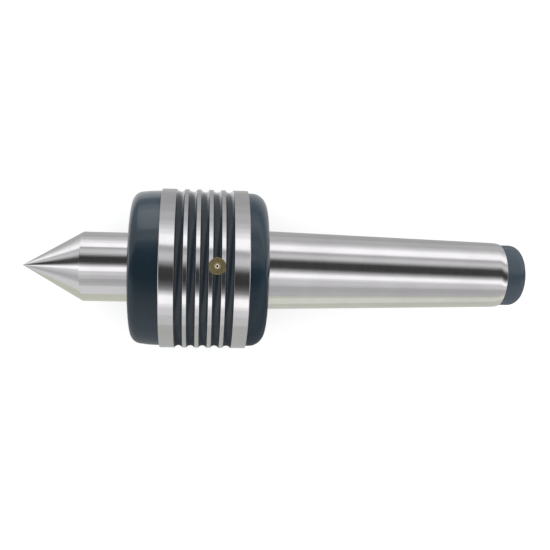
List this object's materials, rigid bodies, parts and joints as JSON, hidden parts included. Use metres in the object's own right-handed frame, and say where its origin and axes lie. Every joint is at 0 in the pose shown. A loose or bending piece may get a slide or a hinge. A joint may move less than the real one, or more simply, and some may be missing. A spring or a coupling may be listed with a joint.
{
  "type": "live center",
  "caption": "Spring-loaded live center: a 60 degree point on bearings in a grooved head with a ball oiler, on a Morse taper shank.",
  "frame": {"origin": "on the axis at the gauge plane of the Morse taper, where its diameter is 31.267 mm", "axes": "+X along the axis toward the small end of the shank, -X toward the point, +Z through the ball oiler"},
  "size_m": [0.2002, 0.0628, 0.0628],
  "materials": {
    "ground_steel": "ground and turned tool steel; the fields between the lands carry glossy blue-black paint",
    "dark_paint": "glossy blue-black paint on turned steel",
    "slate_paint": "satin slate finish on turned steel",
    "point_steel": "hardened and fine ground",
    "bearing_steel": "hardened and polished",
    "spring_steel": "tempered spring steel",
    "cage_brass": "machined",
    "oiler_brass": "olive toned brass, turned",
    "black_rubber": "nitrile rubber",
    "wool_felt": "pressed wool felt"
  },
  "bodies": {
    "housing_body": {"housing": "ground_steel", "front_cover": "dark_paint", "cover_o_ring": "black_rubber", "felt_wiper": "wool_felt", "shaft_seal": "black_rubber", "seal_garter_spring": "spring_steel", "tail_plug": "slate_paint", "guide_pin": "bearing_steel", "oiler_body": "oiler_brass"},
    "quill_body": {"quill": "ground_steel", "quill_o_ring": "black_rubber", "front_bearing_outer_ring": "bearing_steel", "bearing_circlip": "spring_steel", "thrust_housing_washer": "bearing_steel", "needle_cup": "bearing_steel", "spring_plunger": "bearing_steel", "disc_springs": "spring_steel"},
    "spindle_body": {"center_point": "point_steel", "front_bearing_inner_ring": "bearing_steel", "spacer_ring": "bearing_steel", "thrust_shaft_washer": "bearing_steel", "tail_washer": "bearing_steel", "tail_circlip": "spring_steel"},
    "front_cage_body": {"front_bearing_balls": "bearing_steel", "front_bearing_cage": "cage_brass"},
    "thrust_cage_body": {"thrust_balls": "bearing_steel", "thrust_cage": "cage_brass"},
    "needle_cage_body": {"needles": "bearing_steel", "needle_cage": "spring_steel"},
    "oiler_ball_body": {"oiler_ball": "bearing_steel", "oiler_spring": "spring_steel"}
  },
  "joints": [
    {"name": "point_spring_travel", "type": "slide", "parent": "housing_body", "child": "quill_body", "axis": [1, 0, 0], "range_m": [0, 0.004], "stiffness_N_per_m": 174000, "springref_m": -0.0012, "deforming": ["disc_springs"]},
    {"name": "spindle_spin", "type": "hinge", "parent": "quill_body", "child": "spindle_body", "pos_m": [-0.0734, 0, 0], "axis": [1, 0, 0], "continuous": true},
    {"name": "front_bearing_spin", "type": "hinge", "parent": "quill_body", "child": "front_cage_body", "pos_m": [-0.03095, 0, 0], "axis": [1, 0, 0], "continuous": true},
    {"name": "thrust_bearing_spin", "type": "hinge", "parent": "quill_body", "child": "thrust_cage_body", "pos_m": [-0.0184, 0, 0], "axis": [1, 0, 0], "continuous": true},
    {"name": "needle_bearing_spin", "type": "hinge", "parent": "quill_body", "child": "needle_cage_body", "pos_m": [0.0275, 0, 0], "axis": [1, 0, 0], "continuous": true},
    {"name": "oiler_ball_press", "type": "slide", "parent": "housing_body", "child": "oiler_ball_body", "axis": [0, 0, -1], "range_m": [0, 0.0007], "stiffness_N_per_m": 1200, "springref_m": -0.0005, "deforming": ["oiler_spring"]}
  ],
  "couplings": [
    {"joint": "front_bearing_spin", "follows": "spindle_spin", "ratio": 0.42361},
    {"joint": "thrust_bearing_spin", "follows": "spindle_spin", "ratio": 0.5},
    {"joint": "needle_bearing_spin", "follows": "spindle_spin", "ratio": 0.43576}
  ]
}
